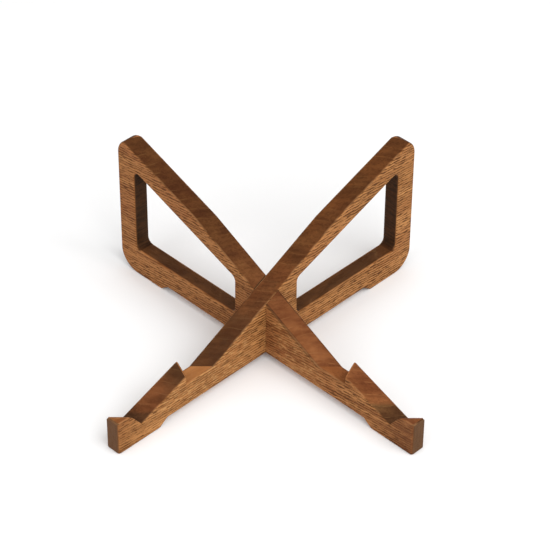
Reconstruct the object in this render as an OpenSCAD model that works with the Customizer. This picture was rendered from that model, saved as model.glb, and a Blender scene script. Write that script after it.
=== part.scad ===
// Wooden tablet stand made of two boards that stand on edge and cross in an X.
// The boards slot into each other with a cross-lap joint and lift apart for storage.
// Each board has a foot, two ledges that hold a tablet at two angles, and a
// tall rear end with a window in it.  The origin is on the table, under the
// crossing; +Y points to the back, and the tablet faces -Y.

/* [Board] */
// Thickness of each board
board_t = 13; // [10:0.5:16]
// Height of each board at its tall rear end
board_h = 121; // [112:0.5:124]
// Length of board in front of the crossing
front_len = 151.5; // [150:0.5:156]
// Length of board behind the crossing
rear_len = 149.5; // [146:0.5:160]
// Angle in plan between each board and the front-to-back direction
cross_angle = 45; // [42:0.5:48]
// Radius of the rear top corner
top_corner_r = 14; // [6:0.5:16]
// Radius of the rear bottom corner
heel_r = 17; // [10:0.5:24]

/* [Cross-lap joint] */
// Play between a board and the slot that it slides into, on each side
slot_play = 0.1; // [0.05:0.05:0.3]
// Share of the board's height at the crossing that the lower slot takes
slot_share = 0.5; // [0.4:0.05:0.6]

/* [Feet] */
// Height of the arch between the front foot and the rear foot
arch_h = 5.4; // [4.6:0.2:6]
// Length of the front foot that touches the table
front_foot_len = 39.5; // [30:0.5:50]
// Distance from the crossing to where the rear foot starts
rear_foot_start = 106; // [90:1:115]
// Length of the slope at each end of the arch
arch_ramp = 7.5; // [4:0.5:10]

/* [Low ledge] */
// Angle from the table of the plane that a tablet lies on
lie_angle = 28.2; // [26:0.1:30]
// Height of that plane straight above the crossing
lie_h = 67; // [64:0.2:70]
// Height of the lip at the front end
lip_h = 28.8; // [24:0.2:32]
// Depth of the lip's wall, measured down to the lying plane
lip_wall = 14.8; // [12:0.2:16]
// Radius of the lip's top edge, over its wall
lip_r = 4; // [3:0.5:5]

/* [High ledge] */
// Distance from the crossing to the wall of the high ledge, along the board
hook_dist = 84; // [80:0.5:88]
// Angle that this wall is turned from square across the board
hook_turn = 12; // [0:1:15]
// Height of the seat behind that wall
seat_h = 25.2; // [22:0.2:27]
// Front-to-back distance from the crossing to the back of the seat
seat_back = 46; // [42:0.5:48]
// Front-to-back distance from the crossing to the ridge that carries the tablet's back
ridge_back = 45; // [40:1:50]

/* [Window] */
// Width of the upright bar behind the window
rear_bar = 17.5; // [14:0.5:22]
// Height of the bar under the window
low_bar = 24.2; // [20:0.2:28]
// Height of the window's upper rear corner, before rounding
window_h = 98; // [94:0.5:99]
// Distance from the crossing to the front of the window, along the board
window_front = 26; // [20:1:40]
// Radius of the window's lower and front corners
window_r = 5; // [3:0.5:8]
// Radius of the window's upper rear corner
window_tip_r = 4; // [2:0.5:5]

/* [Hidden] */
$fn = 96;
over = 1;
wide = 2 * (front_len + rear_len);
tall = 2 * board_h;
slot_w = board_t + 2 * slot_play;

// The two planes that a tablet rests on, as rise per front-to-back distance
lie_slope = tan(lie_angle);
ridge_h = lie_h + lie_slope * ridge_back;
back_slope = (ridge_h - seat_h) / (ridge_back + seat_back);

// The lip's wall stands square on the lying plane and ends at the lip's height.
ledge_h = lip_h - lip_wall * cos(lie_angle);
ledge_back = (ledge_h - lie_h) / lie_slope;

// Centre of the lip's rounded top edge, as [front to back, height]
lip_centre = [
    ledge_back - (lip_r + (lip_h - lip_r - ledge_h) * sin(lie_angle)) / cos(lie_angle),
    lip_h - lip_r
];

// The upper and the lower slot meet at lap_h.
crossing_h = ridge_h - back_slope * ridge_back;
lap_h = arch_h + slot_share * (crossing_h - arch_h);

// Window corners: the centres of their rounding, as [along the board, height].
// win_lean is the angle of the window's top edge, seen square on the board.
win_front = window_front;
win_rear = rear_len - rear_bar;
win_lean = atan(lie_slope * cos(cross_angle));
win_up = [-sin(win_lean), cos(win_lean)];
win_front_h = window_h - tan(win_lean) * (win_rear - win_front);
win_tip = [
    win_rear - window_tip_r,
    window_h - window_tip_r * (tan(win_lean) + 1 / cos(win_lean))
];
win_front_top = [
    win_front + window_r,
    win_front_h + window_r * (tan(win_lean) - 1 / cos(win_lean))
];
win_front_low = [win_front + window_r, low_bar + window_r];
win_rear_low = [win_rear - window_r, low_bar + window_r];

// A bar that runs straight across the stand, left to right, with its outline in
// the front-to-back plane.  It is drawn in the board's own frame, like the rest.
module across(outline) {
    rotate([0, 0, cross_angle - 90])
        rotate([90, 0, 90])
            linear_extrude(height = wide, center = true)
                polygon(outline);
}

// A rod that runs the same way, at centre = [front to back, height].
module across_rod(centre, r) {
    rotate([0, 0, cross_angle - 90])
        translate([0, centre[0], centre[1]])
            rotate([0, 90, 0])
                cylinder(r = r, h = wide, center = true);
}

// A cut straight through the board, from face to face.
module through_board(outline) {
    rotate([90, 0, 0])
        linear_extrude(height = 3 * board_t, center = true)
            polygon(outline);
}

// A round hole straight through the board, at centre = [along, height].
module through_hole(centre, r) {
    translate([centre[0], 0, centre[1]])
        rotate([90, 0, 0])
            cylinder(r = r, h = 3 * board_t, center = true);
}

// The waste outside a rounded rear corner. up is 1 for the top corner, which
// lies at the given height, and -1 for the heel.
module corner_waste(height, r, up) {
    centre = [rear_len - r, height - up * r];
    difference() {
        translate([centre[0], -board_t, centre[1] - (up < 0 ? r + over : 0)])
            cube([r + over, 2 * board_t, r + over]);
        through_hole(centre, r);
    }
}

// The board before its bevelled cuts: a plate with feet and rounded rear corners.
module blank() {
    difference() {
        translate([-front_len, -board_t / 2, 0])
            cube([front_len + rear_len, board_t, board_h]);
        through_board([
            [front_foot_len - front_len, -over],
            [front_foot_len - front_len, 0],
            [front_foot_len - front_len + arch_ramp, arch_h],
            [rear_foot_start - arch_ramp, arch_h],
            [rear_foot_start, 0],
            [rear_foot_start, -over]
        ]);
        corner_waste(board_h, top_corner_r, 1);
        corner_waste(0, heel_r, -1);
    }
}

// Everything above the plane that a tablet lies on, behind the lip's wall.
module above_lying_plane() {
    across([
        [ledge_back, ledge_h],
        [wide, lie_h + lie_slope * wide],
        [ledge_back - lie_slope * wide, ledge_h + wide]
    ]);
}

// Everything above the lip, at the front end only.
module above_lip() {
    across([
        [-wide, lip_h],
        [ledge_back, lip_h],
        [ledge_back, tall],
        [-wide, tall]
    ]);
}

// The waste outside the lip's rounded top edge, between its top and its wall.
module lip_waste() {
    reach = lip_r + over;
    between = (90 + lie_angle) / 2;
    difference() {
        across([
            lip_centre,
            lip_centre + [0, reach],
            lip_centre + reach / sin(between) * [cos(between), sin(between)],
            lip_centre + reach * [cos(lie_angle), sin(lie_angle)]
        ]);
        across_rod(lip_centre, lip_r);
    }
}

// The room for a tablet that leans back: a seat behind the high ledge's wall,
// and a slope from the back of the seat up to the ridge.
module seat_room() {
    intersection() {
        translate([-hook_dist, 0, 0])
            rotate([0, 0, -hook_turn])
                translate([0, -wide / 2, 0])
                    cube([wide, wide, tall]);
        across([
            [-wide, seat_h],
            [-seat_back, seat_h],
            [ridge_back, ridge_h],
            [ridge_back, tall],
            [-wide, tall]
        ]);
    }
}

// The window in the tall end. Its top edge runs parallel to the lying plane.
module window() {
    through_board([
        [win_front, win_front_low[1]],
        [win_front_low[0], low_bar],
        [win_rear_low[0], low_bar],
        [win_rear, win_rear_low[1]],
        [win_rear, win_tip[1]],
        win_tip + window_tip_r * win_up,
        win_front_top + window_r * win_up,
        [win_front, win_front_top[1]]
    ]);
    through_hole(win_tip, window_tip_r);
    for (centre = [win_front_top, win_front_low, win_rear_low])
        through_hole(centre, window_r);
}

// One board with its ledges and window, before its slot is cut. Its length runs
// along X, from the front end at -X to the tall rear end at +X.
module board() {
    difference() {
        blank();
        above_lying_plane();
        above_lip();
        lip_waste();
        seat_room();
        window();
    }
}

// Room for the other board, between two heights.
module slot(low, high) {
    rotate([0, 0, 2 * cross_angle])
        translate([-wide / 2, -slot_w / 2, low])
            cube([wide, slot_w, high - low]);
}

// Turns a board so that its front end points to the front left.
module turned() {
    rotate([0, 0, 90 - cross_angle])
        children();
}

// Front left to rear right. Its slot opens downwards, so it lifts off the other.
module upper_board() {
    color("saddlebrown")
        turned()
            difference() {
                board();
                slot(-over, lap_h + slot_play / 2);
            }
}

// Front right to rear left. Its slot opens upwards and takes the upper board.
module lower_board() {
    color("peru")
        mirror([1, 0, 0])
            turned()
                difference() {
                    board();
                    slot(lap_h - slot_play / 2, tall);
                }
}

upper_board();
lower_board();
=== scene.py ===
"""Wooden tablet stand: two oiled hardwood boards on edge that cross in an X.

Each CAD board is replaced by a sanded one: the same shape with its arrises rounded over.
The wood is a solid 3-D texture in each board's own frame (X along the grain), so that the
figure runs through from face to face and the end grain shows where a cut crosses it.
"""
import math

import bmesh
import bpy
from mathutils import Matrix, Vector
from mathutils.bvhtree import BVHTree


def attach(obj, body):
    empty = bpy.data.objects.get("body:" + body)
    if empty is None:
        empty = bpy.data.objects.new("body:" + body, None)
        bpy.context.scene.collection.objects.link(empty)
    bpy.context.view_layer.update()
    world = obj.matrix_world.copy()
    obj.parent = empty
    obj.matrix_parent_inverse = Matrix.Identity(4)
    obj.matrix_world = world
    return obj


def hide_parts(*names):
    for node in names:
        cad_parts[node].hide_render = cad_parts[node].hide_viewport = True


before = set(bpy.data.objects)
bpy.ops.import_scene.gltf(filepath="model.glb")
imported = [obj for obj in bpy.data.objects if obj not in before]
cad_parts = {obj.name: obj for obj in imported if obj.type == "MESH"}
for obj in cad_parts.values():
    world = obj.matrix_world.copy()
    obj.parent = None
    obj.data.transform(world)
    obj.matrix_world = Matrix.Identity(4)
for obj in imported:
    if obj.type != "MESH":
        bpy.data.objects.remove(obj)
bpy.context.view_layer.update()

MM = 0.001


def add_object(name, data):
    made = bpy.data.objects.new(name, data)
    bpy.context.scene.collection.objects.link(made)
    return made


# ---- Boards --------------------------------------------------------------------------------
# body: the CAD body that the board moves with
# heading: which way the board runs from its front end to its tall end, in degrees from +X
BOARDS = {
    "upper_board": {"body": "upper", "heading": 45},
    "lower_board": {"body": "lower", "heading": 135},
}
# Points nearer than WELD are one point, and faces that turn by less than FLAT_ANGLE are one face.
WELD = 0.001 * MM
FLAT_ANGLE = math.radians(0.5)
# The upright edges at the front end are rounded more than the other arrises.
ARRIS_RADIUS = 1.3 * MM
ARRIS_SEGMENTS = 5
END_RADIUS = 2.2 * MM
END_SEGMENTS = 6
# A face is one of the board's two large sides when the Y of its normal is more than this.
SIDE_NORMAL = 0.9
# An arris is rounded when its faces turn by more than this: one for the rims of the side faces,
# and a larger one for the edges that run across a board.
RIM_TURN = math.radians(45)
ACROSS_TURN = math.radians(60)
# Points this near a true corner belong to it.
CORNER_REACH = 3 * MM
# The slot's walls lie within this much more than half the board's thickness of the crossing.
SLOT_MARGIN = 0.3 * MM
# An edge that still turns by more than this, such as an inside corner, is shaded as crisp.
CRISP_ANGLE = math.radians(30)
# The shade inside a window or the slot fades out over the first rows of the strip at its rim.
SHADE_ROWS = 3
# A ray that looks for an opposite face starts this far off its own face.
RAY_START = 0.01 * MM


def clean_copy(node, heading):
    """The CAD node's mesh in the board's own frame, with each flat face in one piece.

    In that frame X runs along the board to its tall end, and Y runs across its thickness.
    """
    bm = bmesh.new()
    bm.from_mesh(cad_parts[node].data)
    bm.transform(Matrix.Rotation(-math.radians(heading), 4, "Z"))
    bmesh.ops.remove_doubles(bm, verts=bm.verts, dist=WELD)
    bmesh.ops.dissolve_limit(bm, angle_limit=FLAT_ANGLE, verts=bm.verts, edges=bm.edges)
    return bm


def is_arris(edge, half_slot):
    """True for an outward edge that is rounded over. The slot's own edges stay crisp."""
    if not edge.is_convex or all(abs(v.co.x) < half_slot for v in edge.verts):
        return False
    on_side = any(abs(f.normal.y) > SIDE_NORMAL for f in edge.link_faces)
    return edge.calc_face_angle(0) > (RIM_TURN if on_side else ACROSS_TURN)


def arris_count(vert, half_slot):
    return sum(is_arris(e, half_slot) for e in vert.link_edges)


def gather_corners(bm, half_slot):
    """Moves the small facets' points near each true corner into it, so that it rounds cleanly."""
    corners = [v for v in bm.verts if arris_count(v, half_slot) >= 3]
    for corner in corners:
        near = [
            v for v in bm.verts
            if v not in corners and (v.co - corner.co).length < CORNER_REACH
        ]
        if near:
            bmesh.ops.pointmerge(bm, verts=near + [corner], merge_co=corner.co.copy())
    bmesh.ops.dissolve_degenerate(bm, dist=WELD, edges=bm.edges)


def clear_rims(bm, half_slot):
    """Moves points that lie next to a rim, closer than its rounding reaches, onto the rim."""
    for vert in [v for v in bm.verts if arris_count(v, half_slot) == 0]:
        beside = [
            e.other_vert(vert) for e in vert.link_edges
            if e.calc_length() < ARRIS_RADIUS and arris_count(e.other_vert(vert), half_slot) == 2
        ]
        if beside:
            bmesh.ops.pointmerge(bm, verts=[beside[0], vert], merge_co=beside[0].co.copy())


def end_uprights(bm, half_slot):
    """The upright edges at the front end."""
    front = min(v.co.x for v in bm.verts)
    return [
        e for e in bm.edges
        if is_arris(e, half_slot) and all(v.co.x < front + WELD for v in e.verts)
        and abs(e.verts[0].co.y - e.verts[1].co.y) < WELD
    ]


def bevel(bm, edges, radius, segments):
    """Rounds the edges over, and marks the new faces as rounded strips."""
    strip = bm.faces.layers.int["strip"]
    made = bmesh.ops.bevel(
        bm, geom=edges, affect="EDGES", offset=radius, offset_type="OFFSET",
        segments=segments, profile=0.5, clamp_overlap=False,
    )
    for f in made["faces"]:
        f[strip] = 1


def round_arrises(bm):
    """Rounds over the arrises, marks the points inside their strips, and keeps the rest crisp."""
    half_slot = max(v.co.y for v in bm.verts) + SLOT_MARGIN
    bm.faces.layers.int.new("strip")
    gather_corners(bm, half_slot)
    clear_rims(bm, half_slot)
    bevel(bm, end_uprights(bm, half_slot), END_RADIUS, END_SEGMENTS)
    bevel(bm, [e for e in bm.edges if is_arris(e, half_slot)], ARRIS_RADIUS, ARRIS_SEGMENTS)
    arris = bm.verts.layers.float.new("arris")
    strip = bm.faces.layers.int["strip"]
    for v in bm.verts:
        v[arris] = float(all(f[strip] for f in v.link_faces))
    for e in bm.edges:
        e.smooth = e.calc_face_angle(0) < CRISP_ANGLE


def mark_hollow_shade(bm):
    """Marks the faces that look straight at another face of the same board, where shade is
    painted.

    The mark is 1 on such a face, and fades out over the rounded strip beside it.
    """
    tree = BVHTree.FromBMesh(bm)
    strip = bm.faces.layers.int["strip"]
    hollow_shade = bm.faces.layers.float.new("hollow_shade")
    for f in bm.faces:
        start = f.calc_center_median() + f.normal * RAY_START
        distance = tree.ray_cast(start, f.normal)[3]
        f[hollow_shade] = float(distance is not None and distance > ARRIS_RADIUS)
    row = [f for f in bm.faces if f[hollow_shade]]
    for step in range(1, SHADE_ROWS):
        beside = {n for f in row for e in f.edges for n in e.link_faces}
        row = [f for f in beside if f[strip] and not f[hollow_shade]]
        for f in row:
            f[hollow_shade] = 1 - step / SHADE_ROWS


def build_board(node, facts):
    """The sanded board in its place, riding on its CAD body."""
    bm = clean_copy(node, facts["heading"])
    round_arrises(bm)
    mark_hollow_shade(bm)
    mesh = bpy.data.meshes.new(node + "_sanded")
    bm.to_mesh(mesh)
    bm.free()
    mesh.shade_smooth()
    piece = add_object(node + "_sanded", mesh)
    piece.matrix_world = Matrix.Rotation(math.radians(facts["heading"]), 4, "Z")
    weighted = piece.modifiers.new("flat_faces_stay_flat", "WEIGHTED_NORMAL")
    weighted.weight = 100
    weighted.keep_sharp = True
    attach(piece, facts["body"])
    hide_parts(node)
    return piece


# ---- Node trees ----------------------------------------------------------------------------
# The numbers of the Mix node's sockets for colours: its factor, A and B, and its result
MIX_COLOUR_INPUTS = (0, 6, 7)
MIX_COLOUR_OUTPUT = 2


class Graph:
    """A material's node tree, with one short call for each kind of node."""

    def __init__(self, material):
        self.tree = material.node_tree
        self.tree.nodes.clear()

    def add(self, kind, inputs=None, **settings):
        """A new node, whose inputs are fed by values or by other nodes' outputs."""
        made = self.tree.nodes.new("ShaderNode" + kind)
        for name, value in settings.items():
            setattr(made, name, value)
        for name, value in (inputs or {}).items():
            self.feed(made.inputs[name], value)
        return made

    def feed(self, socket, value):
        """Links the socket to another node's output, or sets it to a value."""
        if isinstance(value, bpy.types.NodeSocket):
            self.tree.links.new(value, socket)
        else:
            socket.default_value = value

    def math(self, operation, a, b=0.0):
        return self.add("Math", {0: a, 1: b}, operation=operation).outputs[0]

    def plus(self, a, b):
        return self.math("ADD", a, b)

    def minus(self, a, b):
        return self.math("SUBTRACT", a, b)

    def times(self, a, b):
        return self.math("MULTIPLY", a, b)

    def absolute(self, a):
        return self.math("ABSOLUTE", a)

    def flip(self, share):
        """0 where the share is 1, and 1 where it is 0."""
        return self.minus(1.0, share)

    def vector(self, operation, a, b):
        made = self.add("VectorMath", {0: a, 1: b}, operation=operation)
        return made.outputs["Value" if operation == "DOT_PRODUCT" else "Vector"]

    def split(self, place):
        """The place's X, Y and Z."""
        return self.add("SeparateXYZ", {0: place}).outputs

    def mark(self, name):
        """A mark that the board's mesh carries, such as the arris mark or the mark for painted
        shade.
        """
        return self.add("Attribute", attribute_name=name).outputs["Fac"]

    def normal(self):
        """The direction that the surface faces, in the board's own frame."""
        return self.add("TexCoord").outputs["Normal"]

    def noise(self, place, size, detail=2.0, rough=0.5):
        """Noise whose blobs are about size = (x, y, z) millimetres across, from 0 to 1."""
        scaled = self.vector("DIVIDE", place, size)
        return self.add(
            "TexNoise", {"Vector": scaled, "Scale": 1.0, "Detail": detail, "Roughness": rough}
        ).outputs["Fac"]

    def ramp(self, value, low, high):
        """0 below low and 1 above high, with a smooth step between them."""
        return self.add(
            "MapRange", {"Value": value, "From Min": low, "From Max": high},
            interpolation_type="SMOOTHSTEP",
        ).outputs["Result"]

    def mix(self, share, a, b, blend="MIX"):
        """Colour a where the share is 0, and colour b where it is 1."""
        made = self.add("Mix", data_type="RGBA", blend_type=blend)
        for socket, value in zip(MIX_COLOUR_INPUTS, (share, a, b)):
            self.feed(made.inputs[socket], value)
        return made.outputs[MIX_COLOUR_OUTPUT]

    def tint(self, share, colour, factor):
        """The colour times factor, as far as share says."""
        return self.mix(share, colour, factor, "MULTIPLY")


def rgb(r, g, b):
    """An opaque colour in linear light."""
    return (r, g, b, 1.0)


# ---- Wood ----------------------------------------------------------------------------------
# A feature's size is (along, across, up) the board, and all lengths are in millimetres.
WANDER_SIZE = (90.0, 40.0, 45.0)
BAND_SIZE = (220.0, 14.0, 5.0)
TONE_SIZE = (70.0, 30.0, 30.0)
BLOTCH_SIZE = (26.0, 18.0, 14.0)
END_STREAK_SIZE = (8.0, 1.1, 9.0)
SAW_MARK_SIZE = (30.0, 12.0, 1.6)
RUB_AND_HIGHLIGHT_SIZE = (9.0, 9.0, 9.0)

# Pale flecks. They thin out from half the reach of the board's full stretch to all of it.
FLECK_SIZE = (5.0, 4.0, 1.9)
FLECKS_IN_STRETCH = 0.70
FLECKS_ELSEWHERE = 0.15
FLECKS_LOST_ON_EDGE = 0.80

# Pale growth rings, which lie where a wave is zero. A ring fades out between the two parts of
# the wave's height in RING_WIDTH, and RING_BEND is in radians of that wave.
RING_PITCH = 4.7
RING_WIDTH = (0.05, 0.17)
RING_BEND = 4.0
RING_BEND_SIZE = (70.0, 18.0, 20.0)
RING_BREAK_SIZE = (24.0, 9.0, 9.0)
RINGS_ON_SIDE = 0.20
RINGS_ON_EDGE = 0.60

# Open dark vessels, or dashes. A dash shows where noise, clusters and rows add up to its level,
# and DASH_ROW_DRIFT is in radians of the wave that makes the rows.
DASH_SIZE = (7.0, 1.5, 0.64)
DASH_LEVEL = (0.64, 0.71)
DASH_CLUSTERS = 0.25
DASH_CLUSTER_SIZE = (60.0, 14.0, 12.0)
DASH_ROWS = 0.10
DASH_ROW_PITCH = 2.3
DASH_ROW_DRIFT = 5.0
DASH_ROW_DRIFT_SIZE = (45.0, 20.0, 9.0)

# Fine vessels, or pores, one in each cell of PORE_SIZE. The reach is a share of the cell.
PORE_SIZE = (3.4, 0.6, 0.6)
PORE_REACH = 0.28
PORE_LEAST_REACH = 0.35 * PORE_REACH
PORE_CLUSTER_SIZE = (30.0, 9.0, 7.0)
PORE_DEPTH = 0.55
VESSELS_LOST_ON_EDGE = 0.75
VESSELS_LOST_IN_STRETCH = 0.25

# Kinds of face: where a face starts to be of that kind, and where it is so in full. What counts
# is how much of its normal points across the board, along the grain (for both cuts) or up.
SIDE_FACE = (0.55, 0.95)
SLANTED_CUT = (0.15, 0.38)
SQUARE_CUT = (0.62, 0.92)
UPWARD_FACE = (0.1, 0.6)

# Places along the board, measured from the crossing, between which a tint comes or goes
FORE_END = (-150.0, -105.0)
# Painted shade on the slants near the hook and behind it comes in and goes out between these two.
HOOK_SHADE_START = (-104.0, -88.0)
HOOK_SHADE_END = (-40.0, 0.0)
FRONT_TO_REAR = (-60.0, 60.0)
# Beside the lip's wall the slants are darker, partly painted shade of the lip and partly a dark
# stain.
# Its edge fades out over the first length below and wanders by up to the second.
SHADE_AND_STAIN_FADE = 5.0
SHADE_AND_STAIN_STRAY = 4.0
SHADE_AND_STAIN_EDGE_SIZE = (6.0, 6.0, 6.0)

# How much the painted shade covers the wood's colour on faces that look at another face of the
# board
SHELTER_SHADE = 0.80
SAW_MARK_TINT = rgb(0.30, 0.30, 0.30)
ROUGHNESS = 0.58
VESSEL_ROUGHNESS = 0.15
GLOSS = 0.07
BUMP_STRENGTH = 0.4
BUMP_DEPTH = 0.25 * MM

# offset: where in its timber the board lies
# grain_drop: how far the grain drops for each millimetre towards the rear
# wander: how far the grain strays up and down
# rear_side: which large side faces the back, 1 for +Y and -1 for -Y
# fleck_centre, fleck_reach: the stretch along the board that is full of flecks
# shade_and_stain_end: how far along the board the painted shade of the lip and the dark stain
# beside it reach
# A name with tint is a colour that others are multiplied by, and vessels, the rub share and
# red_share say how much of the vessel, rubbed and red colours shows. The rubbed colour is partly
# rubbed wear and partly painted highlight, the inside colour is painted shade, and the rear slant
# tint is partly painted shade.
LOOKS = {
    "upper_board": {
        "offset": (400.0, 35.0, 10.0), "grain_drop": 0.056, "wander": 9.0, "rear_side": 1.0,
        "dark": rgb(0.293, 0.122, 0.036), "light": rgb(0.471, 0.214, 0.071),
        "red": rgb(0.310, 0.106, 0.033), "red_share": 0.35,
        "fore_tint": rgb(0.76, 0.73, 0.69),
        "glow": rgb(0.490, 0.252, 0.092), "fleck_centre": -70.0, "fleck_reach": 62.0,
        "vessel": rgb(0.078, 0.027, 0.008), "vessels": 0.93,
        "edge_tint": rgb(0.86, 0.76, 0.72),
        "slant_front": rgb(0.405, 0.335, 0.337), "slant_rear_and_shade": rgb(0.33, 0.275, 0.215),
        "hook_shade_tint": rgb(0.56, 0.62, 0.60), "blotch_tint": rgb(0.86, 0.90, 0.94),
        "shade_and_stain_end": -120.5, "shade_and_stain_tint": rgb(0.55, 0.62, 0.67),
        "end": rgb(0.103, 0.048, 0.021), "end_streak": rgb(0.126, 0.058, 0.026),
        "shaded_inside": rgb(0.048, 0.017, 0.005),
        "rubbed_and_highlight": rgb(0.440, 0.220, 0.092), "rub_and_highlight": 0.25,
    },
    "lower_board": {
        "offset": (-300.0, -20.0, 90.0), "grain_drop": 0.11, "wander": 7.0, "rear_side": -1.0,
        "dark": rgb(0.240, 0.089, 0.027), "light": rgb(0.390, 0.168, 0.056),
        "red": rgb(0.256, 0.083, 0.026), "red_share": 0.45,
        "fore_tint": rgb(0.53, 0.46, 0.46),
        "glow": rgb(0.430, 0.208, 0.074), "fleck_centre": -40.0, "fleck_reach": 30.0,
        "vessel": rgb(0.068, 0.023, 0.007), "vessels": 0.84,
        "edge_tint": rgb(0.90, 0.79, 0.74),
        "slant_front": rgb(0.70, 0.66, 0.68), "slant_rear_and_shade": rgb(0.31, 0.30, 0.26),
        "hook_shade_tint": rgb(0.98, 0.98, 0.98), "blotch_tint": rgb(0.84, 0.80, 0.80),
        "shade_and_stain_end": -112.5, "shade_and_stain_tint": rgb(0.56, 0.69, 0.71),
        "end": rgb(0.093, 0.043, 0.018), "end_streak": rgb(0.114, 0.053, 0.022),
        "shaded_inside": rgb(0.046, 0.017, 0.005),
        "rubbed_and_highlight": rgb(0.400, 0.190, 0.078), "rub_and_highlight": 0.35,
    },
}


def grain_frame(g, timber, look):
    """The place in the timber, with its height measured from a grain that drops and wanders."""
    along, across, up = g.split(timber)
    wander = g.minus(g.noise(timber, WANDER_SIZE, detail=1.0), 0.5)
    lift = g.times(along, look["grain_drop"])
    lift = g.plus(lift, g.times(wander, look["wander"]))
    return g.add("CombineXYZ", {0: along, 1: across, 2: g.plus(up, lift)}).outputs[0]


def facing_up(g):
    """1 on faces that look up, and 0 on those that look sideways or down."""
    return g.ramp(g.split(g.normal())[2], *UPWARD_FACE)


def face_kinds(g, look):
    """How far a face is off the two sides, slants across the grain, and is cut square to it."""
    normal = g.normal()
    edge_face = g.flip(g.ramp(g.absolute(g.split(normal)[1]), *SIDE_FACE))
    axis = Vector((1.0, 0.0, -look["grain_drop"])).normalized()
    cut = g.absolute(g.vector("DOT_PRODUCT", normal, axis))
    low_arris = g.times(g.mark("arris"), g.flip(facing_up(g)))
    slanted = g.times(g.ramp(cut, *SLANTED_CUT), g.flip(low_arris))
    return edge_face, slanted, g.ramp(cut, *SQUARE_CUT)


def fleck_stretch(g, place, look):
    """1 in the stretch that is full of flecks, and 0 away from it."""
    away = g.absolute(g.minus(g.split(place)[0], look["fleck_centre"]))
    return g.flip(g.ramp(away, look["fleck_reach"] * 0.5, look["fleck_reach"]))


def growth_rings(g, grain):
    """Thin pale lines where one ring ends, broken here and there."""
    bend = g.times(g.noise(grain, RING_BEND_SIZE, detail=1.0), RING_BEND)
    turns = g.times(g.split(grain)[2], math.pi / RING_PITCH)
    wave = g.absolute(g.math("SINE", g.plus(turns, bend)))
    line = g.flip(g.ramp(wave, *RING_WIDTH))
    return g.times(line, g.ramp(g.noise(grain, RING_BREAK_SIZE, detail=1.0), 0.40, 0.60))


def dashes(g, grain):
    """Open dark vessels, which line up in rows along the growth rings."""
    drift = g.times(g.noise(grain, DASH_ROW_DRIFT_SIZE, detail=1.0), DASH_ROW_DRIFT)
    turns = g.times(g.split(grain)[2], 2 * math.pi / DASH_ROW_PITCH)
    row = g.math("SINE", g.plus(turns, drift))
    level = g.plus(g.noise(grain, DASH_SIZE, detail=1.0), g.times(row, DASH_ROWS))
    clusters = g.noise(grain, DASH_CLUSTER_SIZE, detail=1.0)
    level = g.plus(level, g.times(clusters, DASH_CLUSTERS))
    return g.ramp(level, *DASH_LEVEL)


def fine_pores(g, grain):
    """Short fine vessels along the grain, which are wider where they cluster."""
    scaled = g.vector("DIVIDE", grain, PORE_SIZE)
    distance = g.add("TexVoronoi", {"Vector": scaled, "Scale": 1.0}).outputs["Distance"]
    cluster = g.ramp(g.noise(grain, PORE_CLUSTER_SIZE, detail=1.0), 0.25, 0.75)
    reach = g.plus(g.times(cluster, PORE_REACH), PORE_LEAST_REACH)
    return g.flip(g.ramp(g.math("DIVIDE", distance, reach), 0.55, 1.0))


def ground(g, place, timber, grain, edge_face, look):
    """The wood's colour between its dark vessels, before the faces get their own tints."""
    bands = g.ramp(g.noise(grain, BAND_SIZE, detail=3.0, rough=0.6), 0.32, 0.68)
    colour = g.mix(bands, look["dark"], look["light"])
    tone = g.ramp(g.noise(timber, TONE_SIZE, detail=1.0), 0.45, 0.70)
    colour = g.mix(g.times(tone, look["red_share"]), colour, look["red"])
    fore = g.flip(g.ramp(g.split(place)[0], *FORE_END))
    colour = g.tint(fore, colour, look["fore_tint"])

    flecks = g.ramp(g.noise(grain, FLECK_SIZE, rough=0.6), 0.50, 0.62)
    full = g.times(fleck_stretch(g, place, look), FLECKS_IN_STRETCH)
    share = g.times(g.plus(full, FLECKS_ELSEWHERE), flecks)
    share = g.times(share, g.flip(g.times(edge_face, FLECKS_LOST_ON_EDGE)))
    colour = g.mix(share, colour, look["glow"])
    share = g.plus(RINGS_ON_SIDE, g.times(edge_face, RINGS_ON_EDGE))
    return g.mix(g.times(growth_rings(g, grain), share), colour, look["glow"])


def add_vessels(g, colour, vessels, place, edge_face, look):
    """Darkens the colour in the vessels, less so off the side faces and among the flecks."""
    lost = g.times(fleck_stretch(g, place, look), VESSELS_LOST_IN_STRETCH)
    lost = g.plus(g.times(edge_face, VESSELS_LOST_ON_EDGE), lost)
    depth = g.times(g.math("MAXIMUM", g.flip(lost), 0.0), look["vessels"])
    return g.mix(g.times(vessels, depth), colour, look["vessel"])


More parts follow.
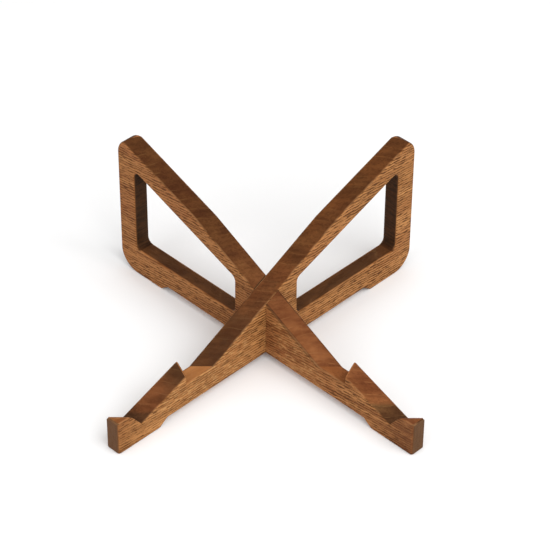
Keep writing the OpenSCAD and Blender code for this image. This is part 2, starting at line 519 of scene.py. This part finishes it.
def tint_and_shade_slants(g, colour, place, slanted, look):
    """Darkens the faces that slant across the grain, which drink more oil than the sides do, and
    paints shade on them near the hook, beside the lip and partly towards the rear.
    """
    along, across, _ = g.split(place)
    # The slants grow darker towards the rear: partly the wood's own colour, partly painted shade.
    tint = g.mix(g.ramp(along, *FRONT_TO_REAR), look["slant_front"], look["slant_rear_and_shade"])
    colour = g.tint(slanted, colour, tint)
    # Painted shade on the slants near the hook and behind it.
    hook_shade = g.minus(g.ramp(along, *HOOK_SHADE_START), g.ramp(along, *HOOK_SHADE_END))
    colour = g.tint(g.times(slanted, hook_shade), colour, look["hook_shade_tint"])
    blotch = g.ramp(g.noise(place, BLOTCH_SIZE, detail=3.0, rough=0.6), 0.42, 0.60)
    colour = g.tint(g.times(slanted, blotch), colour, look["blotch_tint"])

    # Painted shade of the lip's wall, with a dark stain, lies straight across the stand next to
    # that wall.
    back = g.plus(along, g.times(across, look["rear_side"]))
    back = g.plus(back, g.times(g.noise(place, SHADE_AND_STAIN_EDGE_SIZE), SHADE_AND_STAIN_STRAY))
    shade_and_stain = g.flip(g.ramp(back, look["shade_and_stain_end"] - SHADE_AND_STAIN_FADE, look["shade_and_stain_end"]))
    return g.tint(g.times(slanted, shade_and_stain), colour, look["shade_and_stain_tint"])


def add_end_grain(g, colour, place, square, look):
    """Grey-brown end grain with upright streaks, on the faces cut square to the grain."""
    streak = g.ramp(g.noise(place, END_STREAK_SIZE, rough=0.6), 0.35, 0.65)
    return g.mix(square, colour, g.mix(streak, look["end"], look["end_streak"]))


def add_shade_and_wear(g, colour, timber, look):
    """Paints shade on faces that look at another face of the board, with saw marks in it, and
    makes upward arrises paler in places, partly rubbed wear and partly painted highlight.
    """
    saw_marks = g.ramp(g.noise(timber, SAW_MARK_SIZE, rough=0.6), 0.38, 0.62)
    shaded_inside = g.tint(saw_marks, look["shaded_inside"], SAW_MARK_TINT)
    colour = g.mix(g.times(g.mark("hollow_shade"), SHELTER_SHADE), colour, shaded_inside)
    # Upward arrises are paler in places: partly rubbed wear, partly painted highlight where light
    # catches the rounding.
    rub_and_highlight = g.times(g.mark("arris"), g.ramp(g.noise(timber, RUB_AND_HIGHLIGHT_SIZE), 0.38, 0.62))
    rub_and_highlight = g.times(rub_and_highlight, facing_up(g))
    return g.mix(g.times(rub_and_highlight, look["rub_and_highlight"]), colour, look["rubbed_and_highlight"])


def wood(name, look):
    """Oiled hardwood as a solid texture in the board's own frame, in millimetres."""
    material = bpy.data.materials.new(name)
    material.use_nodes = True
    g = Graph(material)
    metres = g.add("TexCoord").outputs["Object"]
    place = g.vector("MULTIPLY", metres, (1 / MM, 1 / MM, 1 / MM))
    timber = g.vector("ADD", place, look["offset"])
    grain = grain_frame(g, timber, look)

    edge_face, slanted, square = face_kinds(g, look)
    vessels = g.math("MAXIMUM", dashes(g, grain), g.times(fine_pores(g, grain), PORE_DEPTH))
    colour = ground(g, place, timber, grain, edge_face, look)
    colour = add_vessels(g, colour, vessels, place, edge_face, look)
    colour = g.tint(edge_face, colour, look["edge_tint"])
    colour = tint_and_shade_slants(g, colour, place, slanted, look)
    colour = add_end_grain(g, colour, place, square, look)
    colour = add_shade_and_wear(g, colour, timber, look)

    rough = g.plus(g.times(vessels, VESSEL_ROUGHNESS), ROUGHNESS)
    bump = g.add("Bump", {
        "Strength": BUMP_STRENGTH, "Distance": BUMP_DEPTH, "Height": g.flip(vessels),
    })
    shader = g.add("BsdfPrincipled", {
        "Base Color": colour, "Roughness": rough, "Normal": bump.outputs[0],
        "Specular IOR Level": GLOSS,
    })
    g.add("OutputMaterial", {"Surface": shader.outputs[0]}).is_active_output = True
    return material


# ---- Stage ---------------------------------------------------------------------------------
# Lengths are in metres here, apart from the camera's sensor and focal length in millimetres.
FLOOR_HALF_WIDTH = 3.0
FLOOR_FRONT = -3.0
FLOOR_BACK = 2.5
FLOOR_CURVE = 0.8
FLOOR_WALL = 3.0
FLOOR_STEPS = 12
LIGHT_AIM = (0.0, 0.0, 0.05)
LIGHTS = {
    "key": {"place": (1.0, -1.2, 1.6), "size": 2.2, "power": 36},
    "fill": {"place": (-1.3, -1.2, 1.2), "size": 1.2, "power": 8},
}
SKY_STRENGTH = 0.75
# The camera looks at a point that lies right of the origin and above it, as the camera sees it.
CAMERA_ELEVATION = math.radians(39.566)
CAMERA_TURN = math.radians(0.385)
CAMERA_ROLL = math.radians(0.448)
CAMERA_DISTANCE = 1.791637
CAMERA_RIGHT = 0.006857
CAMERA_UP = 0.055505
SENSOR_WIDTH = 36.0
FOCAL_LENGTH = 159.28


def pale_paper():
    material = bpy.data.materials.new("pale_paper")
    material.use_nodes = True
    shader = material.node_tree.nodes["Principled BSDF"]
    shader.inputs["Base Color"].default_value = rgb(0.90, 0.90, 0.90)
    shader.inputs["Roughness"].default_value = 0.9
    shader.inputs["Specular IOR Level"].default_value = 0.1
    return material


def floor_profile():
    """The floor's outline from the front to the top of its wall, as (Y, Z)."""
    points = [(FLOOR_FRONT, 0.0), (FLOOR_BACK, 0.0)]
    for i in range(1, FLOOR_STEPS + 1):
        angle = math.pi / 2 * i / FLOOR_STEPS
        rise = FLOOR_CURVE * (1 - math.cos(angle))
        points.append((FLOOR_BACK + FLOOR_CURVE * math.sin(angle), rise))
    points.append((FLOOR_BACK + FLOOR_CURVE, FLOOR_WALL))
    return points


def make_floor():
    """A plain pale sheet that rises at the back in one curve, far behind the stand."""
    bm = bmesh.new()
    left, right = [
        [bm.verts.new((x, y, z)) for y, z in floor_profile()]
        for x in (-FLOOR_HALF_WIDTH, FLOOR_HALF_WIDTH)
    ]
    for i in range(len(left) - 1):
        bm.faces.new((left[i], right[i], right[i + 1], left[i + 1]))
    mesh = bpy.data.meshes.new("floor")
    bm.to_mesh(mesh)
    bm.free()
    mesh.shade_smooth()
    mesh.materials.append(pale_paper())
    floor = add_object("floor", mesh)


def make_light(name, place, size, power):
    data = bpy.data.lights.new(name, "AREA")
    data.shape = "DISK"
    data.size = size
    data.energy = power
    lamp = add_object(name, data)
    lamp.location = place
    aim = Vector(LIGHT_AIM) - Vector(place)
    lamp.rotation_euler = aim.to_track_quat("-Z", "Y").to_euler()


def make_world():
    world = bpy.data.worlds.new("white_studio")
    world.use_nodes = True
    background = world.node_tree.nodes["Background"]
    background.inputs["Color"].default_value = rgb(1.0, 1.0, 1.0)
    background.inputs["Strength"].default_value = SKY_STRENGTH
    bpy.context.scene.world = world


def make_camera():
    """The view from the front, looking down at the crossing."""
    look = Vector((
        math.sin(CAMERA_TURN) * math.cos(CAMERA_ELEVATION),
        math.cos(CAMERA_TURN) * math.cos(CAMERA_ELEVATION),
        -math.sin(CAMERA_ELEVATION),
    ))
    flat_right = Vector((math.cos(CAMERA_TURN), -math.sin(CAMERA_TURN), 0.0))
    flat_up = flat_right.cross(look)
    right = flat_right * math.cos(CAMERA_ROLL) + flat_up * math.sin(CAMERA_ROLL)
    up = flat_up * math.cos(CAMERA_ROLL) - flat_right * math.sin(CAMERA_ROLL)
    data = bpy.data.cameras.new("camera")
    data.sensor_width = SENSOR_WIDTH
    data.lens = FOCAL_LENGTH
    camera = add_object("camera", data)
    centre = right * CAMERA_RIGHT + up * CAMERA_UP - look * CAMERA_DISTANCE
    turned = Matrix((right, up, -look)).transposed().to_4x4()
    camera.matrix_world = Matrix.Translation(centre) @ turned
    bpy.context.scene.camera = camera


for node, facts in BOARDS.items():
    board = build_board(node, facts)
    board.data.materials.append(wood(node + "_wood", LOOKS[node]))
make_floor()
make_world()
for name, light in LIGHTS.items():
    make_light(name, **light)
make_camera()
bpy.context.scene.view_settings.view_transform = "Standard"
